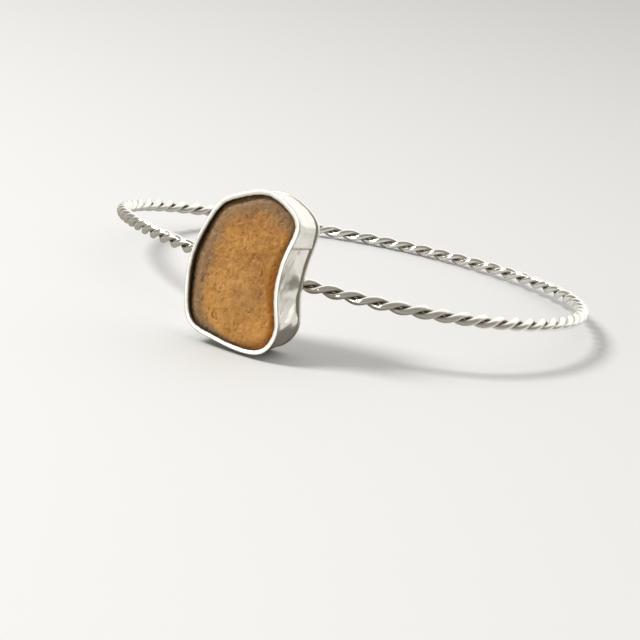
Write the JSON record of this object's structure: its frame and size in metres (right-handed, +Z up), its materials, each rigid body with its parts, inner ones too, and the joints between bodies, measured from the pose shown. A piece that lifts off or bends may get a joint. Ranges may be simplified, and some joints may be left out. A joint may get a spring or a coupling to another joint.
{
  "type": "bangle bracelet",
  "caption": "Closed bangle of twisted silver wire with an irregular piece of frosted amber glass held in a deep bezel setting.",
  "frame": {"origin": "middle of the bounding box on the table that the bangle lies on", "axes": "+Z up from the table, +Y from the setting across the hoop to its far side, +X to the right seen from the front of the setting"},
  "size_m": [0.0672, 0.0734, 0.0202],
  "materials": {
    "polished_silver_wire": "polished sterling silver wire",
    "silver_sheet": "hand-polished silver sheet with fine scratches",
    "silver_solder": "polished hard silver solder",
    "amber_sea_glass": "frosted and pitted sea-worn glass"
  },
  "bodies": {
    "root": {"twist_wire_a": "polished_silver_wire", "twist_wire_b": "polished_silver_wire", "hoop_joint_solder": "silver_solder", "setting_solder": "silver_solder", "back_plate": "silver_sheet", "bezel_base_solder": "silver_solder", "bezel_strip": "silver_sheet", "bezel_seam_solder": "silver_solder", "sea_glass": "amber_sea_glass"}
  },
  "joints": []
}
